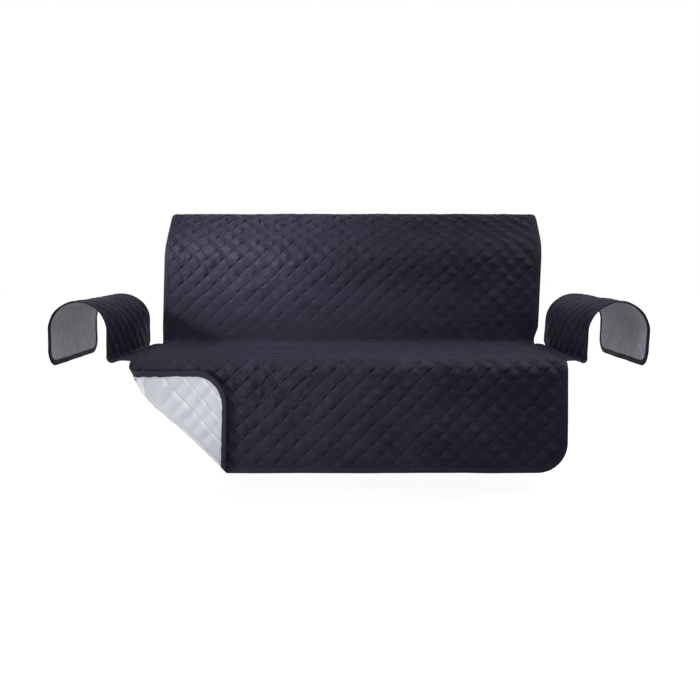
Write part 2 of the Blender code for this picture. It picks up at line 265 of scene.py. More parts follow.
def risen(folds, u, v):
    """How far a set of soft folds lifts the cloth at each point."""
    total = np.zeros_like(u)
    for fold in folds:
        along = np.subtract(fold.end, fold.start)
        length = math.hypot(*along)
        along = along / length
        du, dv = u - fold.start[0], v - fold.start[1]
        distance = du * along[0] + dv * along[1]
        aside = dv * along[0] - du * along[1] + 0.12 * fold.width * np.sin(distance / fold.width * 1.7)
        fade = smoothstep(distance, -0.4 * length, 0.25 * length)
        fade = fade * (1 - smoothstep(distance, 0.75 * length, 1.4 * length))
        total += fold.rise * np.exp(-((aside / fold.width) ** 2)) * fade
    return total


panel_form = Profile((FRONT_Y, HEM_HEIGHT), 90, PANEL_START, PANEL_RUNS)
NOTCH = panel_form.reach(SEAT_FRONT_Y)
REAR = panel_form.reach(SEAT_REAR_Y)
SEAT_HEIGHT = panel_form.at(panel_form.reach((SEAT_FRONT_Y + SEAT_REAR_Y) / 2), 0)[1]
flap_form = Profile((0, SEAT_HEIGHT), 0, FLAP_START, FLAP_RUNS)

turn_length = math.pi * FOLD_RADIUS
corner_turn = Profile(
    (0, 0), 0, Run("flat", 0, 0, 0, 0),
    (Run("bend", turn_length, 180, 0, 0), Run("turned corner", 1.0, 0, 0, 0)),
)
fold_length = math.hypot(FOLD_AT_HEM, FOLD_AT_SIDE)
fold_line = np.array((-FOLD_AT_HEM, FOLD_AT_SIDE)) / fold_length
fold_over = np.array((-FOLD_AT_SIDE, -FOLD_AT_HEM)) / fold_length


def edge_distance(u, v, size, corners):
    """How far inside the cut outline each point is."""
    right, top = u > size[0] / 2, v > size[1] / 2
    from_side = np.where(right, size[0] - u, u)
    from_end = np.where(top, size[1] - v, v)
    distance = np.minimum(from_side, from_end)
    for corner, radius in corners.items():
        rounded = (right == bool(corner[0])) & (top == bool(corner[1]))
        rounded &= (from_side < radius) & (from_end < radius)
        distance = np.where(rounded, radius - np.hypot(radius - from_side, radius - from_end), distance)
    return distance


def past_fold(u, v):
    """How far the turned-up corner's fold bows out near each point, how far past it the point is, and
    over how much of the cloth past it the bow is eased out again."""
    down = ((u - FOLD_AT_HEM) * fold_line[0] + v * fold_line[1]) / fold_length
    down = np.clip(down, 0, 1)
    bow = FOLD_BOW * np.sin(math.pi * down**FOLD_SKEW)
    reach = (u - FOLD_AT_HEM) * fold_over[0] + v * fold_over[1] - bow
    slope = FOLD_AT_HEM / FOLD_AT_SIDE
    room = fold_length * np.minimum((1 - down) * slope, down / slope) - bow
    return bow, reach, np.clip(room, *FOLD_EASE)


def on_panel(u, v, n):
    """Where points of the long panel's pattern lie in the part's frame."""
    u, v, n = (np.asarray(values, float) for values in (u, v, n))
    inside = edge_distance(u, v, PANEL_SIZE, PANEL_CORNERS)
    seamed = smoothstep(v, NOTCH - 0.06, NOTCH + 0.02) * (1 - smoothstep(v, REAR - 0.02, REAR + 0.06))
    loose = 1 - seamed * (1 - smoothstep(inside, 0.0, 0.07))
    loose = loose * np.interp(v, *zip(*PANEL_LOOSENESS))
    free = smoothstep(inside, 0.02, 0.06)
    n = n + loose * (risen(PANEL_FOLDS, u, v) + PANEL_UNEVENNESS * waves(u, v, 0.26, 11))
    n = n - seamed * SEAM_SINK * (1 - smoothstep(inside, 0.0, 0.008))
    free = free * smoothstep(-past_fold(u, v)[1], 0.0, 0.06)
    u, v = u + SLIP * free * waves(u, v, 0.17, 12), v + SLIP * free * waves(u, v, 0.15, 13)

    bow, reach, ease = past_fold(u, v)
    side, height = corner_turn.at(reach * FOLD_STRETCH, n)
    turned = reach > 0
    moved = np.where(turned, side - reach - (1 + FOLD_STRETCH) * bow * smoothstep(reach / ease), 0)
    slid = np.where(turned, FOLD_SLIDE * np.maximum(reach * FOLD_STRETCH - turn_length / 2, 0), 0)
    u = u + fold_over[0] * moved + fold_line[0] * slid
    v = v + fold_over[1] * moved + fold_line[1] * slid
    n = np.where(turned, height, n)

    y, z = panel_form.at(v, n)
    left, right = panel_form.column("left", v), panel_form.column("right", v)
    x = left + (right - left) * u / PANEL_SIZE[0]
    return np.stack((x, y, z), axis=-1) - ORIGIN


def seam_line(side, y):
    """How far out the seat's side seam is."""
    field = "left" if side < 0 else "right"
    near, far = (abs(panel_form.column(field, panel_form.reach(end))) for end in SEAM_SPAN)
    return near + (far - near) * (y - SEAM_SPAN[0]) / (SEAM_SPAN[1] - SEAM_SPAN[0])


def on_arm(side):
    """The way to lay the pattern of the arm flap on this side (-1 is the left one)."""

    def place(u, v, n):
        u, v, n = (np.asarray(values, float) for values in (u, v, n))
        loose = smoothstep(u, 0.0, 0.06)
        n = n + loose * (risen(FLAP_FOLDS, u, v) + FLAP_UNEVENNESS * waves(u, v, 0.17, 21 + side))
        n = n - SEAM_SINK * (1 - smoothstep(u, 0.0, 0.008))
        out, z = flap_form.at(u, n)
        front, rear = flap_form.column("front", u), flap_form.column("rear", u)
        y = front + (rear - front) * v / FLAP_SIZE[1]
        out = out + seam_line(side, y) + 0.0002 - FLARE * flap_form.column("flare", u) * (y - SEAT_FRONT_Y)
        if side > 0:
            out = out - flap_form.column("lean", u)
        return np.stack((side * out, y, z), axis=-1) - ORIGIN

    return place


# ---------------- quilted cloth


def corner_arc(size, radius, corner, steps=16):
    """The quarter circle that rounds a corner, anticlockwise."""
    centre = [size[axis] - radius if corner[axis] else radius for axis in (0, 1)]
    start = math.atan2(corner[1] - 0.5, corner[0] - 0.5) - math.pi / 4
    angles = [start + math.pi / 2 * step / steps for step in range(steps + 1)]
    return [(centre[0] + radius * math.cos(a), centre[1] + radius * math.sin(a)) for a in angles]


def cut(bm, geometry, place, normal, clear):
    made = bmesh.ops.bisect_plane(
        bm, geom=geometry, dist=1e-7, plane_co=(*place, 0), plane_no=(*normal, 0), clear_outer=clear
    )
    return [item for item in made["geom"] if item.is_valid]


def near_faces(bm, wanted):
    """The faces whose middles pass a test, with their edges and points, in the same order each run."""
    faces = [face for face in bm.faces if wanted(face.calc_center_median())]
    edges = dict.fromkeys(edge for face in faces for edge in face.edges)
    points = dict.fromkeys(point for face in faces for point in face.verts)
    return [*points, *edges, *faces]


# Where the cloth bends tightly, so that its mesh is cut finer: the axis, from, to, and the spacing
PANEL_BENDS = ((1, 0.332, 0.400, 0.0080), (1, 0.870, 0.918, 0.0038), (1, 1.545, 1.640, 0.0130))
FLAP_BENDS = ((0, 0.060, 0.104, 0.0045),)


def flat_quilting(size, corners, lines, bends):
    """A mesh of the flat cloth whose edges follow both sets of stitch lines."""
    across, along = DIAMOND
    inner = [length - 2 * MARGIN for length in size]
    low = math.floor(-MARGIN / across - (inner[1] + MARGIN) / along) - 1
    high = math.ceil((inner[0] + MARGIN) / across + (inner[1] + MARGIN) / along) + 1
    marks = np.array([whole + part for whole in range(low, high) for part in lines])
    p, q = np.meshgrid(marks, marks, indexing="ij")
    u, v = MARGIN + across * (p + q) / 2, MARGIN + along * (p - q) / 2
    kept = (u > -across) & (u < size[0] + across) & (v > -along) & (v < size[1] + along)
    whole = kept[:-1, :-1] & kept[1:, :-1] & kept[1:, 1:] & kept[:-1, 1:]
    count = len(marks)
    index = np.arange(count * count).reshape(count, count)
    quads = np.stack((index[:-1, :-1], index[:-1, 1:], index[1:, 1:], index[1:, :-1]), axis=-1)[whole]
    used, quads = np.unique(quads, return_inverse=True)
    points = np.stack((u.ravel()[used], v.ravel()[used], np.zeros(len(used))), axis=1)
    mesh = bpy.data.meshes.new("flat")
    mesh.from_pydata(points.tolist(), [], quads.reshape(-1, 4).tolist())
    bm = bmesh.new()
    bm.from_mesh(mesh)
    bpy.data.meshes.remove(mesh)

    everything = bm.verts[:] + bm.edges[:] + bm.faces[:]
    for place, normal in (((0, 0), (-1, 0)), ((0, 0), (0, -1)), (size, (1, 0)), (size, (0, 1))):
        everything = cut(bm, everything, place, normal, True)
    for corner, radius in corners.items():
        at = Vector((size[0] * corner[0], size[1] * corner[1], 0))
        geometry = near_faces(bm, lambda middle: (middle - at).length < 1.6 * radius)
        arc = corner_arc(size, radius, corner)
        for one, two in zip(arc, arc[1:]):
            geometry = cut(bm, geometry, one, (two[1] - one[1], one[0] - two[0]), True)
    for axis, low, high, spacing in bends:
        geometry = near_faces(bm, lambda middle: low - 0.03 < middle[axis] < high + 0.03)
        for place in np.arange(low, high, spacing):
            point, normal = [0, 0], [0, 0]
            point[axis], normal[axis] = place, 1
            geometry = cut(bm, geometry, point, normal, False)
    if size == PANEL_SIZE:
        over, foot = Vector((*fold_over, 0)), Vector((FOLD_AT_HEM, 0, 0))
        geometry = near_faces(bm, lambda middle: -0.03 < (middle - foot).dot(over) < 0.07)
        widest = FOLD_BOW + turn_length / FOLD_STRETCH
        for step in range(FOLD_CUTS):
            place = foot + over * widest * step / (FOLD_CUTS - 1)
            geometry = cut(bm, geometry, place.xy, over.xy, False)
    return bm


# How full a pillow is by chance, at least and at most, and how many rows differ before they repeat
CHANCE_FULLNESS = (0.72, 1.12)
CHANCE_ROWS = 97


def pillows(u, v, seed, rising=0.75, falling=1.90):
    """The height of the quilting, from 0 on the stitch lines to about 1 in the middle of a diamond.

    A low power makes that set of stitch lines narrow, and in the end faint. A high one makes them wide
    and soft, which breaks up the lines that cross them.
    """
    across, along = (u - MARGIN) / DIAMOND[0], (v - MARGIN) / DIAMOND[1]
    p, q = across + along, across - along
    s, t = p - np.floor(p), q - np.floor(q)
    fullness = np.random.default_rng(seed).uniform(*CHANCE_FULLNESS, (CHANCE_ROWS, CHANCE_ROWS))
    amount = fullness[tuple(np.floor(line).astype(int) % CHANCE_ROWS for line in (p, q))]
    return amount * (4 * s * (1 - s)) ** falling * (4 * t * (1 - t)) ** rising


# How full the panel's quilting is along it: pressed flat in the crease, and taut on the seat and crest
PANEL_FULLNESS = (
    (0.00, 0.80), (0.30, 0.85), (0.36, 1.00), (0.42, 0.80), (0.50, 0.55), (0.84, 0.50), (0.87, 0.25),
    (0.895, 0.04), (0.92, 0.20), (0.96, 0.45), (1.05, 0.70), (1.15, 1.00), (1.28, 1.05), (1.42, 1.00),
    (1.48, 0.60), (1.51, 0.40), (1.58, 0.45), (1.66, 0.80), (1.90, 0.90),
)
# How strong the navy finish's fine relief beside the stitch lines is, along the panel; it also sets how
# dark the painted shade in the stitch valleys is
PANEL_RELIEF = (
    (0.00, 0.55), (0.28, 0.70), (0.36, 1.20), (0.41, 1.15), (0.50, 0.60), (0.84, 0.40), (0.88, 0.20),
    (0.93, 0.15), (1.00, 0.20), (1.08, 0.45), (1.15, 0.90), (1.34, 1.05), (1.42, 1.60), (1.50, 2.10),
    (1.60, 0.90), (1.90, 0.90),
)
# The same two on the flaps
FLAP_FULLNESS = 0.70
FLAP_RELIEF = 0.50


def over_turned(u, v):
    """Where the seat's front edge lies taut over the turned-up corner, 1 at most."""
    return np.exp(-(((u - 0.10) / 0.22) ** 2) - (((v - 0.385) / 0.055) ** 2))


def panel_relief(u, v):
    """The fine relief's strength, which grows where the drop is drawn together beside the turned corner."""
    drawn = np.exp(-(((u - 0.42) / 0.16) ** 2) - (((v - 0.28) / 0.07) ** 2))
    return np.interp(v, *zip(*PANEL_RELIEF)) * (1 - 0.7 * over_turned(u, v)) + 0.7 * drawn


def flap_relief(u, v):
    return np.full_like(u, FLAP_RELIEF)


def quilting_puff(u, v, size, corners, seamed, seed, *powers):
    """The pillows, pressed flat under the binding and at a seam."""
    inside = edge_distance(u, v, size, corners)
    start = np.where(seamed(u, v), PRESSED, TAPE_WIDTH - PRESSED)
    return pillows(u, v, seed, *powers) * smoothstep(inside, start, start + PRESSED_OVER)


def panel_seamed(u, v):
    return (v > NOTCH) & (v < REAR)


def flap_seamed(u, v):
    return u < TAPE_WIDTH + 0.014


def named_mesh(name, points, faces, pattern, material):
    """A smooth mesh object with its pattern coordinates, in metres, as a UV map."""
    mesh = bpy.data.meshes.new(name)
    mesh.from_pydata(points.tolist(), [], faces)
    corner_points = np.empty(len(mesh.loops), np.int32)
    mesh.loops.foreach_get("vertex_index", corner_points)
    layer = mesh.uv_layers.new(name="pattern")
    layer.data.foreach_set("uv", pattern[corner_points].astype(np.float32).ravel())
    mesh.polygons.foreach_set("use_smooth", np.ones(len(faces), bool))
    mesh.materials.append(material)
    piece = bpy.data.objects.new(name, mesh)
    bpy.context.scene.collection.objects.link(piece)
    return piece


def cloth(name, flat, place, height, relief, material, face_up, flipped):
    """A thin closed cloth: the flat mesh laid at this height, with its other side under it."""
    flat.verts.ensure_lookup_table()
    pattern = np.array([point.co.xy for point in flat.verts])
    u, v = pattern.T
    top = height(u, v)
    under = top - CLOTH if face_up else top + CLOTH
    points = np.concatenate((place(u, v, top), place(u, v, under)))
    count = len(pattern)
    faces = [[point.index for point in face.verts] for face in flat.faces]
    faces += [[index + count for index in reversed(face)] for face in faces]
    for edge in flat.edges:
        if edge.is_boundary:
            first, second = edge.link_loops[0].vert.index, edge.link_loops[0].link_loop_next.vert.index
            faces.append([second, first, first + count, second + count])
    if face_up == flipped:
        faces = [face[::-1] for face in faces]
    piece = named_mesh(name, points, faces, np.concatenate((pattern, pattern)), material)
    shown = np.tile(relief(u, v), 2).astype(np.float32)
    piece.data.attributes.new("relief", "FLOAT", "POINT").data.foreach_set("value", shown)
    return piece


# ---------------- bindings


def edge_path(stops, spacing):
    """Points along a cut edge, which turns left at each rounded stop, and the ways out of the cloth."""
    corners = []
    for index, (corner, radius) in enumerate(stops):
        corner = Vector(corner)
        if not radius:
            corners.append(corner)
            continue
        ahead = (corner - Vector(stops[index - 1][0])).normalized()
        left = Vector((-ahead.y, ahead.x))
        centre = corner - ahead * radius + left * radius
        steps = math.ceil(radius * math.pi / 2 / spacing)
        for step in range(steps + 1):
            angle = math.pi / 2 * step / steps
            corners.append(centre - left * radius * math.cos(angle) + ahead * radius * math.sin(angle))
    points = [corners[0]]
    for one, two in zip(corners, corners[1:]):
        steps = max(1, round((two - one).length / spacing))
        points += [one.lerp(two, step / steps) for step in range(1, steps + 1)]
    points = np.array([tuple(point) for point in points])
    ahead = np.gradient(points, axis=0)
    ahead /= np.linalg.norm(ahead, axis=1)[:, None]
    lengths = np.linalg.norm(np.diff(points, axis=0), axis=1)
    return points, np.stack((ahead[:, 1], -ahead[:, 0]), axis=1), np.concatenate(([0], np.cumsum(lengths)))


# The folded tape's section: out past the cut edge, and out of the cloth's face
TAPE_OUTSIDE = (
    (-0.0171, 0.0017), (-0.0168, 0.0022), (-0.0160, 0.0024), (-0.0148, 0.0021), (-0.0135, 0.0025),
    (-0.0100, 0.0030), (-0.0055, 0.0033), (-0.0020, 0.0031), (0.0002, 0.0024), (0.0012, 0.0013),
    (0.0015, 0.0002), (0.0012, -0.0009), (0.0002, -0.0020), (-0.0020, -0.0026), (-0.0055, -0.0028),
    (-0.0100, -0.0026), (-0.0135, -0.0022), (-0.0148, -0.0018), (-0.0160, -0.0021),
    (-0.0168, -0.0020), (-0.0171, -0.0016),
)
TAPE_INSIDE = (
    (-0.0169, -0.0012), (-0.0100, -0.0018), (-0.0020, -0.0018), (0.0004, -0.0006), (0.0004, 0.0008),
    (-0.0020, 0.0022), (-0.0100, 0.0021), (-0.0169, 0.0014),
)
# How much of a tape lies inside the edge, at distances along it: all of it, or less on the front one
# where the turned-up corner is drawn over the seat's edge
EVEN_WIDTH = ((0.0, 1.0),)
FRONT_TAPE_WIDTHS = (
    (0.0, 1.0), (0.01, 0.9), (0.03, 0.38), (0.12, 0.50), (0.24, 0.78), (0.40, 0.95), (0.75, 1.0),
)


def tape(name, stops, place, material, flipped, widths=EVEN_WIDTH):
    """A folded tape over a cut edge, a little uneven, with the cloth on the left of its path."""
    path, out, distance = edge_path(stops, TAPE_SPACING)
    section = np.array(TAPE_OUTSIDE + TAPE_INSIDE)
    count, around = len(path), len(section)
    across, rise = section[:, 0][None, :], section[:, 1][None, :]
    at_stitches = smoothstep(-across, 0.008, 0.0165)
    ripple = 1 + 0.10 * waves(distance, 0 * distance, 0.05, 31)[:, None]
    pucker = 0.00018 * np.sin(distance * 2 * math.pi / 0.0085)[:, None] * at_stitches
    edge = 0.00035 * waves(distance, 0 * distance, 0.03, 32)[:, None] * at_stitches
    rise = rise * ripple + pucker * np.sign(rise)
    shown = np.interp(distance, *zip(*widths))[:, None]
    across = np.where(across < 0, across * shown, across) + edge
    flat = path[:, None, :] + out[:, None, :] * across[:, :, None]
    rise = np.broadcast_to(rise, (count, around))
    points = place(flat[:, :, 0].ravel(), flat[:, :, 1].ravel(), rise.ravel())
    index = np.arange(count * around).reshape(count, around)
    beside = np.roll(index, -1, axis=1)
    quads = np.stack((index[:-1], beside[:-1], beside[1:], index[1:]), axis=-1).reshape(-1, 4).tolist()
    faces = quads + [index[0][::-1].tolist(), index[-1].tolist()]
    if flipped:
        faces = [face[::-1] for face in faces]
    girth = np.concatenate(([0], np.cumsum(np.linalg.norm(np.diff(section, axis=0), axis=1))))
    pattern = np.stack((np.repeat(distance, around), np.tile(girth, count)), axis=1)
    return named_mesh(name, points, faces, pattern, material)


# ---------------- nodes and stitches


def add_node(tree, kind, settings, sockets, output=0):
    """Adds a node, gives its sockets their values or links, and returns one of its outputs."""
    made = tree.nodes.new(kind)
    for name, value in settings.items():
        setattr(made, name, value)
    for key, value in sockets.items():
        if isinstance(value, bpy.types.NodeSocket):
            tree.links.new(value, made.inputs[key])
        else:
            made.inputs[key].default_value = value
    return made.outputs[output]


STITCH_INPUTS = {"Length": "NodeSocketFloat", "Rise": "NodeSocketFloat", "Seed": "NodeSocketInt"}


def stitch_tree():
    """Puts a stitch at each point, turned by the point's own two directions."""
    tree = bpy.data.node_groups.new("stitches", "GeometryNodeTree")
    geometry = {"socket_type": "NodeSocketGeometry"}
    tree.interface.new_socket("Stitches", in_out="OUTPUT", **geometry)
    tree.interface.new_socket("Points", in_out="INPUT", **geometry)
    for name, kind in STITCH_INPUTS.items():
        tree.interface.new_socket(name, in_out="INPUT", socket_type=kind)
    given = tree.nodes.new("NodeGroupInput").outputs

    def add(*node):
        return add_node(tree, *node)

    half = add("ShaderNodeMath", {"operation": "MULTIPLY"}, {0: given["Length"], 1: 0.5})
    back = add("ShaderNodeMath", {"operation": "MULTIPLY"}, {0: half, 1: -1})
    start = add("ShaderNodeCombineXYZ", {}, {"X": back})
    middle = add("ShaderNodeCombineXYZ", {}, {"Z": given["Rise"]})
    end = add("ShaderNodeCombineXYZ", {}, {"X": half})
    ends = {"Resolution": 3, "Start": start, "Middle": middle, "End": end}
    line = add("GeometryNodeCurveQuadraticBezier", {}, ends)
    circle = {"Resolution": 3, "Radius": THREAD_RADIUS}
    ring = add("GeometryNodeCurvePrimitiveCircle", {"mode": "RADIUS"}, circle)
    thread = add("GeometryNodeCurveToMesh", {}, {"Curve": line, "Profile Curve": ring, "Fill Caps": True})
    vector = {"data_type": "FLOAT_VECTOR"}
    along, up = (add("GeometryNodeInputNamedAttribute", vector, {"Name": name}) for name in ("along", "up"))
    turn = add("FunctionNodeAxesToRotation", {"primary_axis": "X", "secondary_axis": "Z"},
               {"Primary Axis": along, "Secondary Axis": up})
    chance = {2: SHORTEST_STITCH, 3: 1.0, "Seed": given["Seed"]}
    share = add("FunctionNodeRandomValue", {"data_type": "FLOAT"}, chance, 1)
    scale = add("ShaderNodeCombineXYZ", {}, {"X": share, "Y": 1.0, "Z": 1.0})
    placing = {"Points": given["Points"], "Instance": thread, "Rotation": turn, "Scale": scale}
    placed = add("GeometryNodeInstanceOnPoints", {}, placing)
    real = add("GeometryNodeRealizeInstances", {}, {"Geometry": placed})
    smooth = add("GeometryNodeSetShadeSmooth", {}, {"Geometry": real, "Shade Smooth": True})
    done = add("GeometryNodeSetMaterial", {}, {"Geometry": smooth, "Material": navy_thread})
    tree.links.new(done, tree.nodes.new("NodeGroupOutput").inputs[0])
    return tree


def stitches(name, rows, place, up_sign, length, rise=STITCH_RISE, seed=1, step=0.001):
    """Stitches along rows of pattern points (u, v, n), made real as one mesh."""
    points, along, up = [], [], []
    for row in rows:
        u, v, n = np.asarray(row, float).T
        du, dv = np.gradient(u), np.gradient(v)
        reach = np.hypot(du, dv)
        du, dv = du / reach * step, dv / reach * step
        here = place(u, v, n)
        points.append(here)
        along.append(place(u + du, v + dv, n) - place(u - du, v - dv, n))
        up.append((place(u, v, n + step) - here) * up_sign)
    points, along, up = (np.concatenate(lists) for lists in (points, along, up))
    mesh = bpy.data.meshes.new(name)
    mesh.from_pydata(points.tolist(), [], [])
    for label, vectors in (("along", along), ("up", up)):
        vectors = vectors / np.linalg.norm(vectors, axis=1)[:, None]
        mesh.attributes.new(label, "FLOAT_VECTOR", "POINT").data.foreach_set("vector", vectors.ravel())
    carrier = bpy.data.objects.new(name, mesh)
    bpy.context.scene.collection.objects.link(carrier)
    modifier = carrier.modifiers.new("stitches", "NODES")
    modifier.node_group = stitch_nodes
    given = {"Length": length, "Rise": rise, "Seed": seed}
    for item in stitch_nodes.interface.items_tree:
        if item.name in given:
            modifier[item.identifier] = given[item.name]
    graph = bpy.context.evaluated_depsgraph_get()
    made = bpy.data.meshes.new_from_object(carrier.evaluated_get(graph), depsgraph=graph)
    carrier.modifiers.clear()
    carrier.data = made
    made.name = name
    bpy.data.meshes.remove(mesh)
    return carrier


def quilting_rows(size, corners, rising, seamed):
    """Rows of points along one set of stitch lines, between the bindings and the seams."""
    across, along = DIAMOND
    length = math.hypot(across, along)
    height = VALLEY - QUILTING_SINK
    most = math.ceil(sum(size) / min(DIAMOND)) + 2
    rows = []
    for line in range(-most, most):
        travel = np.arange(-most, most, 2 * QUILTING_PITCH / length)
        p, q = (travel, np.full_like(travel, line)) if rising else (np.full_like(travel, line), travel)
        u, v = MARGIN + across * (p + q) / 2, MARGIN + along * (p - q) / 2
        kept = (u > 0) & (u < size[0]) & (v > 0) & (v < size[1])
        u, v = u[kept], v[kept]
        inside = edge_distance(u, v, size, corners)
        kept = inside > np.where(seamed(u, v), SEAM_LINE, QUILTING_END)
        if kept.sum() > 1:
            rows.append(np.stack((u[kept], v[kept], np.full(kept.sum(), height)), axis=1))
    return rows


def tape_rows(stops, height, widths):
    """One row of points along a tape's inner edge."""
    path, out, distance = edge_path(stops, TAPE_SPACING)
    inner = path - out * TAPE_STITCH_LINE * np.interp(distance, *zip(*widths))[:, None]
    even = np.arange(TAPE_PITCH, distance[-1] - TAPE_PITCH, TAPE_PITCH)
    u, v = (np.interp(even, distance, inner[:, axis]) for axis in (0, 1))
    return [np.stack((u, v, np.full_like(u, height)), axis=1)]


# ---------------- finishes


class Wire:
    """A socket's value, on which Python's operators add Math nodes."""

    def __init__(self, finish, socket):
        self.finish, self.socket = finish, socket

    def math(self, operation, *others):
        sockets = dict(enumerate((self, *others)))
        return self.finish.node("ShaderNodeMath", {"operation": operation}, sockets)

    def __add__(self, other):
        return self.math("ADD", other)

    def __sub__(self, other):
        return self.math("SUBTRACT", other)

    def __mul__(self, other):
        return self.math("MULTIPLY", other)

    def __truediv__(self, other):
        return self.math("DIVIDE", other)

    def __pow__(self, other):
        return self.math("POWER", other)

    def __rsub__(self, other):
        return (self * -1) + other

    def __abs__(self):
        return self.math("ABSOLUTE")

    __radd__ = __add__
    __rmul__ = __mul__

    def fraction(self):
        return self.math("FRACT")

    def sine(self):
        return self.math("SINE")

    def between(self, low, high):
        """0 below low, 1 above high, smooth in between."""
        settings = {"interpolation_type": "SMOOTHSTEP"}
        sockets = {"Value": self, "From Min": low, "From Max": high}
        return self.finish.node("ShaderNodeMapRange", settings, sockets)


class Finish:
    """A material and the one method that adds its nodes."""

    def __init__(self, name, constants):
        self.material = bpy.data.materials.new(name)
        self.material.use_nodes = True
        self.tree = self.material.node_tree
        self.shader = self.tree.nodes["Principled BSDF"]
        for socket, value in constants.items():
            self.shader.inputs[socket].default_value = value

    def node(self, kind, settings, sockets, output=0):
        sockets = {key: getattr(value, "socket", value) for key, value in sockets.items()}
        return Wire(self, add_node(self.tree, kind, settings, sockets, output))

    def pattern(self):
        """The pattern coordinates, in metres, as a vector and as two numbers."""
        vector = self.node("ShaderNodeUVMap", {"uv_map": "pattern"}, {})
        return vector, *(self.node("ShaderNodeSeparateXYZ", {}, {0: vector}, axis) for axis in (0, 1))

    def noise(self, vector, scale, detail=2.0, stretch=None):
        if stretch:
            vector = self.node("ShaderNodeVectorMath", {"operation": "MULTIPLY"}, {0: vector, 1: stretch})
        return self.node("ShaderNodeTexNoise", {}, {"Vector": vector, "Scale": scale, "Detail": detail})

    def mix(self, factor, one, two):
        sockets = {0: factor, 6: one, 7: two}
        return self.node("ShaderNodeMix", {"data_type": "RGBA", "clamp_factor": True}, sockets, 2)

    def set(self, socket, wire):
        self.tree.links.new(wire.socket, self.shader.inputs[socket])

    def bump(self, height, strength=1.0):
        """Raises the surface by a height in metres."""
        sockets = {"Height": height, "Distance": 1.0, "Strength": strength}
        self.set("Normal", self.node("ShaderNodeBump", {}, sockets))


def colour(red, green, blue):
    return (red, green, blue, 1.0)


def quilt_masks(u, v):
    """How near a point is to each set of stitch lines: 1 on a line and 0 midway between two."""
    across, along = (u - MARGIN) / DIAMOND[0], (v - MARGIN) / DIAMOND[1]
    return [abs(line.fraction() - 0.5) * 2 for line in (across + along, across - along)]


def quilted_navy():
    """Brushed navy cloth with a fine twill, pinched and puckered along the stitch lines."""
    finish = Finish("navy_quilting_cloth", {
        "Roughness": 0.62, "Sheen Weight": 0.10, "Sheen Roughness": 0.45,
        "Sheen Tint": colour(0.62, 0.62, 0.90), "Specular IOR Level": 0.22,
    })
    vector, u, v = finish.pattern()
    falling, rising = quilt_masks(u, v)
    near = rising.math("MAXIMUM", falling * 0.97)
    groove = rising.between(0.55, 1.0) * (1 - falling * falling)
    groove = groove + falling.between(0.6, 1.0) * (1 - rising * rising) * 0.5
    relief = finish.node("ShaderNodeAttribute", {"attribute_name": "relief"}, {}, 2)
    puff = (1 - rising * rising) * (1 - falling * falling) ** 2.0
    puff = puff * (0.4 + finish.noise(vector, 17.0, 1.0).between(0.3, 0.7))
    mottle = finish.noise(vector, 9.0, 3.0)
    nap = finish.noise(vector, 1.0, 3.0, (160.0, 260.0, 1.0))
    fibre = finish.noise(vector, 1400.0, 1.0)
    twill = ((u * 2.0 + v) * (2 * math.pi / 0.0019)).sine()
    shade = mottle.between(0.35, 0.68) * 0.7 + nap.between(0.3, 0.75) * 0.3
    base = finish.mix(shade, colour(0.0155, 0.0145, 0.0285), colour(0.0235, 0.0220, 0.0425))
    # Painted shade, partly real: the stitch valleys are darkened in the colour as far as the relief
    # reaches, partly for the pile pressed flat there and partly as painted shade in the valleys
    base = finish.mix(groove * relief * 0.28, base, colour(0.0085, 0.0080, 0.0150))
    base = finish.mix(fibre.between(0.55, 0.8) * 0.22, base, colour(0.044, 0.042, 0.072))
    finish.set("Base Color", base)
    finish.set("Roughness", 0.58 + nap * 0.16)
    gather = finish.noise(vector, 62.0, 1.0) * near.between(0.25, 0.85)
    pucker = finish.noise(vector, 150.0, 2.0) * near.between(0.45, 0.95) * (1 - near.between(0.965, 1.0))
    pinched = puff * 0.0075 + gather * 0.0055 + pucker * 0.0018
    woven = nap * 0.00012 + fibre * 0.00010 + twill * 0.00004
    finish.bump(relief * pinched + woven - groove * 0.0004)
    return finish.material


def quilted_pale():
    """The pale grey brushed reverse, soft and slightly fibrous, with the same stitch lines."""
    finish = Finish("pale_reverse_cloth", {
        "Roughness": 0.85, "Sheen Weight": 0.15, "Sheen Roughness": 0.5, "Specular IOR Level": 0.2,
    })
    vector, u, v = finish.pattern()
    main, cross = quilt_masks(u, v)
    near = main.math("MAXIMUM", cross * 0.9)
    groove = main.between(0.90, 0.985) + cross.between(0.90, 0.985) * 0.3
    along = (u - MARGIN) / DIAMOND[0] + (v - MARGIN) / DIAMOND[1]
    beside = along.fraction()
    ridge_and_highlight = beside.between(0.01, 0.06) * (1 - beside.between(0.06, 0.30))
    ridge_and_highlight = ridge_and_highlight * finish.noise(vector, 40.0, 1.0).between(0.3, 0.6)
    mottle = finish.noise(vector, 16.0, 3.0)
    fibre = finish.noise(vector, 620.0, 3.0)
    strands = finish.noise(vector, 1.0, 2.0, (900.0, 160.0, 1.0))
    shade = mottle.between(0.3, 0.7) * 0.6 + fibre.between(0.3, 0.7) * 0.4
    base = finish.mix(shade, colour(0.592, 0.607, 0.652), colour(0.657, 0.672, 0.712))
    # Painted shade: the stitch valleys are darkened in the colour
    base = finish.mix(groove * 0.55, base, colour(0.50, 0.515, 0.57))
    # Painted highlight: the strip just past each main stitch line is lightened in the colour as if it
    # caught the light; the bump also raises it
    base = finish.mix(ridge_and_highlight * 0.80, base, colour(0.84, 0.85, 0.88))
    base = finish.mix(strands.between(0.6, 0.8) * 0.3, base, colour(0.82, 0.83, 0.85))
    finish.set("Base Color", base)
    finish.set("Roughness", 0.80 + fibre * 0.15)
    pucker = finish.noise(vector, 140.0, 2.0) * near.between(0.4, 0.95)
    finish.bump(ridge_and_highlight * 0.0012 + pucker * 0.0012 + fibre * 0.00012 + strands * 0.00008 - groove * 0.0003)
    return finish.material


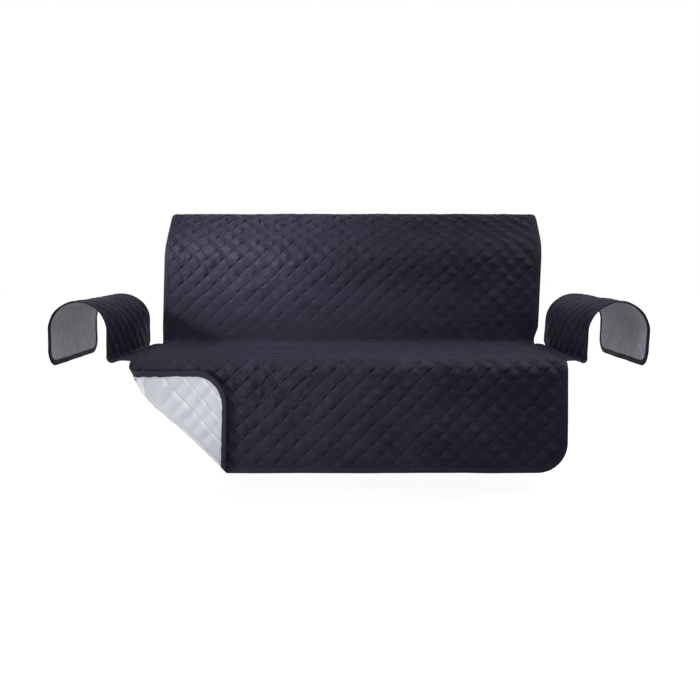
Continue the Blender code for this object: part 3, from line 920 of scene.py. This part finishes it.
def ribbed_navy():
    """Navy binding tape, woven in fine ribs across its width."""
    finish = Finish("navy_binding_tape", {
        "Roughness": 0.60, "Sheen Weight": 0.10, "Sheen Roughness": 0.4,
        "Sheen Tint": colour(0.65, 0.67, 0.85), "Specular IOR Level": 0.28,
    })
    vector, along, across = finish.pattern()
    ribs = (along * (2 * math.pi / 0.0012)).sine()
    weft = (across * (2 * math.pi / 0.0009)).sine()
    mottle = finish.noise(vector, 1.0, 3.0, (25.0, 110.0, 1.0))
    fibre = finish.noise(vector, 1500.0, 1.0)
    shade = mottle.between(0.3, 0.7)
    base = finish.mix(shade, colour(0.0160, 0.0152, 0.0285), colour(0.0235, 0.0225, 0.0400))
    base = finish.mix(fibre.between(0.55, 0.8) * 0.3, base, colour(0.060, 0.058, 0.090))
    finish.set("Base Color", base)
    finish.set("Roughness", 0.55 + mottle * 0.15)
    finish.bump(ribs * 0.00007 + weft * 0.00002 + mottle * 0.0003)
    return finish.material


def twisted_navy():
    """Navy sewing thread."""
    finish = Finish("navy_thread", {"Roughness": 0.5, "Sheen Weight": 0.1, "Specular IOR Level": 0.2})
    place = finish.node("ShaderNodeTexCoord", {}, {}, 3)
    twist = finish.noise(place, 1600.0, 1.0)
    dark, light = colour(0.0095, 0.0090, 0.0165), colour(0.0175, 0.0165, 0.0300)
    finish.set("Base Color", finish.mix(twist.between(0.35, 0.65), dark, light))
    finish.set("Roughness", 0.42 + twist * 0.2)
    finish.bump(twist * 0.0001)
    return finish.material


# ---------------- the pieces

navy, pale, ribbed, navy_thread = quilted_navy(), quilted_pale(), ribbed_navy(), twisted_navy()
stitch_nodes = stitch_tree()


def settle(piece, slot, *nodes):
    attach(piece, "root")
    if nodes:
        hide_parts(*nodes)
    return piece


def quilted(name, outline, bends, place, height, relief, face_up, flipped):
    """One side of a quilted piece: its navy face, or its pale reverse."""
    lines, material = (FACE_LINES, navy) if face_up else (REVERSE_LINES, pale)
    flat = flat_quilting(*outline, lines, bends)
    made = cloth(name, flat, place, height, relief, material, face_up, flipped)
    flat.free()
    return made


def quilting_stitches(name, rows, place, seed):
    """The quilting's thread, sunk in the valleys between the pillows."""
    return settle(stitches(name, rows, place, 1, QUILTING_STITCH, QUILTING_RISE, seed), "navy_quilting")


def seam_stitches(name, u):
    """The thread of one of the panel's side seams."""
    v = np.arange(NOTCH + SEAM_LINE, REAR - SEAM_LINE, SEAM_PITCH)
    rows = [np.stack((np.full_like(v, u), v, np.full_like(v, VALLEY)), axis=1)]
    return settle(stitches(name, rows, on_panel, 1, SEAM_STITCH), "navy_quilting")


def bound(word, stops, place, flipped, node, widths=EVEN_WIDTH):
    """A tape and the thread on its two sides."""
    made = [settle(tape(word + "_tape", stops, place, ribbed, flipped, widths), "navy_binding", node)]
    for side, height, up in TAPE_SIDES:
        rows = tape_rows(stops, height, widths)
        thread = stitches(f"{word}_tape_{side}_stitches", rows, place, up, TAPE_STITCH)
        made.append(settle(thread, "navy_binding"))
    return made


def dress_panel():
    outline = (PANEL_SIZE, PANEL_CORNERS)

    def face_height(u, v):
        fullness = np.interp(v, *zip(*PANEL_FULLNESS)) * (1 - 0.6 * over_turned(u, v))
        return VALLEY + PUFF * fullness * quilting_puff(u, v, *outline, panel_seamed, 41)

    def reverse_height(u, v):
        pressed = smoothstep(np.abs(past_fold(u, v)[1] - turn_length / 2), 0.011, 0.030)
        puff = quilting_puff(u, v, *outline, panel_seamed, 42, *REVERSE_POWERS)
        return REVERSE_TOP - REVERSE_PUFF * pressed * puff

    laid = (outline, PANEL_BENDS, on_panel)
    face = quilted("panel_face", *laid, face_height, panel_relief, True, False)
    settle(face, "navy_quilting", "main_panel")
    reverse = quilted("panel_reverse", *laid, reverse_height, panel_relief, False, False)
    settle(reverse, "pale_reverse", "main_lining")

    width, length = PANEL_SIZE
    radii = PANEL_CORNERS
    front = (
        ((0, NOTCH - TAPE_GAP), 0), ((0, 0), radii[0, 0]),
        ((width, 0), radii[1, 0]), ((width, NOTCH - TAPE_GAP), 0),
    )
    rear = (
        ((width, REAR + TAPE_GAP), 0), ((width, length), radii[1, 1]),
        ((0, length), radii[0, 1]), ((0, REAR + TAPE_GAP), 0),
    )
    extras = bound("front", front, on_panel, False, "front_binding", FRONT_TAPE_WIDTHS)
    extras += bound("back", rear, on_panel, False, "back_binding")
    for word, rising, seed in (("rising", True, 3), ("falling", False, 4)):
        rows = quilting_rows(*outline, rising, panel_seamed)
        extras.append(quilting_stitches(f"panel_{word}_stitches", rows, on_panel, seed))
    for word, u in (("left", SEAM_LINE), ("right", width - SEAM_LINE)):
        extras.append(seam_stitches(f"panel_{word}_seam_stitches", u))


def dress_arm(side, word):
    outline = (FLAP_SIZE, FLAP_CORNERS)
    place = on_arm(side)
    mirrored = side < 0

    def face_height(u, v):
        return VALLEY + PUFF * FLAP_FULLNESS * quilting_puff(u, v, *outline, flap_seamed, 51 + side)

    def reverse_height(u, v):
        puff = quilting_puff(u, v, *outline, flap_seamed, 61 + side, *REVERSE_POWERS)
        return REVERSE_TOP - REVERSE_PUFF * puff

    laid = (outline, FLAP_BENDS, place)
    face = quilted(f"arm_{word}_face", *laid, face_height, flap_relief, True, mirrored)
    settle(face, "navy_quilting", "arm_flap_" + word)
    reverse = quilted(f"arm_{word}_reverse", *laid, reverse_height, flap_relief, False, mirrored)
    settle(reverse, "pale_reverse")

    width, length = FLAP_SIZE
    low, radii = 0.0005, FLAP_CORNERS
    stops = (
        ((low, 0), 0), ((width, 0), radii[1, 0]), ((width, length), radii[1, 1]), ((low, length), 0),
    )
    extras = bound(f"arm_{word}", stops, place, mirrored, "arm_binding_" + word)
    rows = [row for rising in (True, False) for row in quilting_rows(*outline, rising, flap_seamed)]
    extras.append(quilting_stitches(f"arm_{word}_stitches", rows, place, 5))


dress_panel()
dress_arm(-1, "left")
dress_arm(1, "right")


# ---------------- floor, light and camera

FLOOR_REACH = 12
# Each lamp: where it stands, what it points at, its two sides, its power and its spread in degrees
LAMPS = {
    "band": ((-2.0, -1.9, 0.3), (-0.35, -0.12, -0.148), (0.4, 0.25), 1.72, 20),
    "front_top": ((-0.3, -2.3, 2.1), (-0.05, -0.70, -0.5), (1.2, 0.5), 2.4, 45),
    "left": ((-1.7, -1.4, 1.2), (-0.86, -0.5, -0.25), (0.5, 0.5), 0.35, 22),
    "right": ((1.9, -0.6, 1.3), (0.92, -0.5, -0.34), (0.8, 0.8), 2.0, 45),
    "rim": ((-2.2, -1.7, -0.85), (-0.56, -0.78, -0.70), (0.5, 0.5), 0.84, 20),
    "behind": ((0.0, 1.3, 0.02), (0.0, 0.1, -0.13), (0.7, 0.3), 3.2, 100),
    "roll": ((-0.9, -3.3, 0.5), (-0.1, -0.76, -0.49), (0.5, 0.3), 0.42, 24),
}
# The camera that the perspective gives: where it is, and how far it looks down in degrees
CAMERA_AT = (0, -3.76135, -0.10153)
CAMERA_DOWN = 6.75
SENSOR_WIDTH, FOCAL_LENGTH = 36, 47.37


def studio():
    scene = bpy.context.scene
    floor_mesh = bpy.data.meshes.new("floor")
    sides = ((-1, -1), (1, -1), (1, 1), (-1, 1))
    corners = [(FLOOR_REACH * x, FLOOR_REACH * y, -ORIGIN[2]) for x, y in sides]
    floor_mesh.from_pydata(corners, [], [(0, 1, 2, 3)])
    floor = bpy.data.objects.new("floor", floor_mesh)
    plain = Finish("plain_floor", {
        "Base Color": colour(0.80, 0.80, 0.80), "Roughness": 0.9, "Specular IOR Level": 0.0,
        "Emission Color": colour(1, 1, 1), "Emission Strength": 0.72,
    })
    floor_mesh.materials.append(plain.material)
    scene.collection.objects.link(floor)
    floor.visible_diffuse = False
    floor.visible_glossy = False

    world = bpy.data.worlds.new("studio")
    world.use_nodes = True
    scene.world = world
    tree = world.node_tree
    place = add_node(tree, "ShaderNodeTexCoord", {}, {}, "Generated")
    height = add_node(tree, "ShaderNodeSeparateXYZ", {}, {0: place}, "Z")
    height = add_node(tree, "ShaderNodeMapRange", {}, {"Value": height, "From Min": -0.2, "From Max": 1.0})
    colours = {0: height, 6: colour(0.225, 0.225, 0.235), 7: colour(0.49, 0.49, 0.515)}
    ambient = add_node(tree, "ShaderNodeMix", {"data_type": "RGBA"}, colours, 2)
    seen = add_node(tree, "ShaderNodeLightPath", {}, {}, "Is Camera Ray")
    colours = {0: seen, 6: ambient, 7: colour(1, 1, 1)}
    shown = add_node(tree, "ShaderNodeMix", {"data_type": "RGBA"}, colours, 2)
    tree.links.new(shown, tree.nodes["Background"].inputs["Color"])

    for name, (place, aim, size, power, spread) in LAMPS.items():
        data = bpy.data.lights.new(name, "AREA")
        data.shape, data.size, data.size_y, data.energy = "RECTANGLE", size[0], size[1], power
        data.spread = math.radians(spread)
        light = bpy.data.objects.new(name, data)
        light.location = place
        light.rotation_euler = (Vector(aim) - Vector(place)).to_track_quat("-Z", "Y").to_euler()
        scene.collection.objects.link(light)

    camera_data = bpy.data.cameras.new("camera")
    camera_data.sensor_width, camera_data.lens = SENSOR_WIDTH, FOCAL_LENGTH
    camera = bpy.data.objects.new("camera", camera_data)
    camera.location = CAMERA_AT
    camera.rotation_euler = (math.radians(90 - CAMERA_DOWN), 0, 0)
    scene.collection.objects.link(camera)
    scene.camera = camera
    scene.view_settings.view_transform = "Standard"


studio()

bpy.context.view_layer.update()
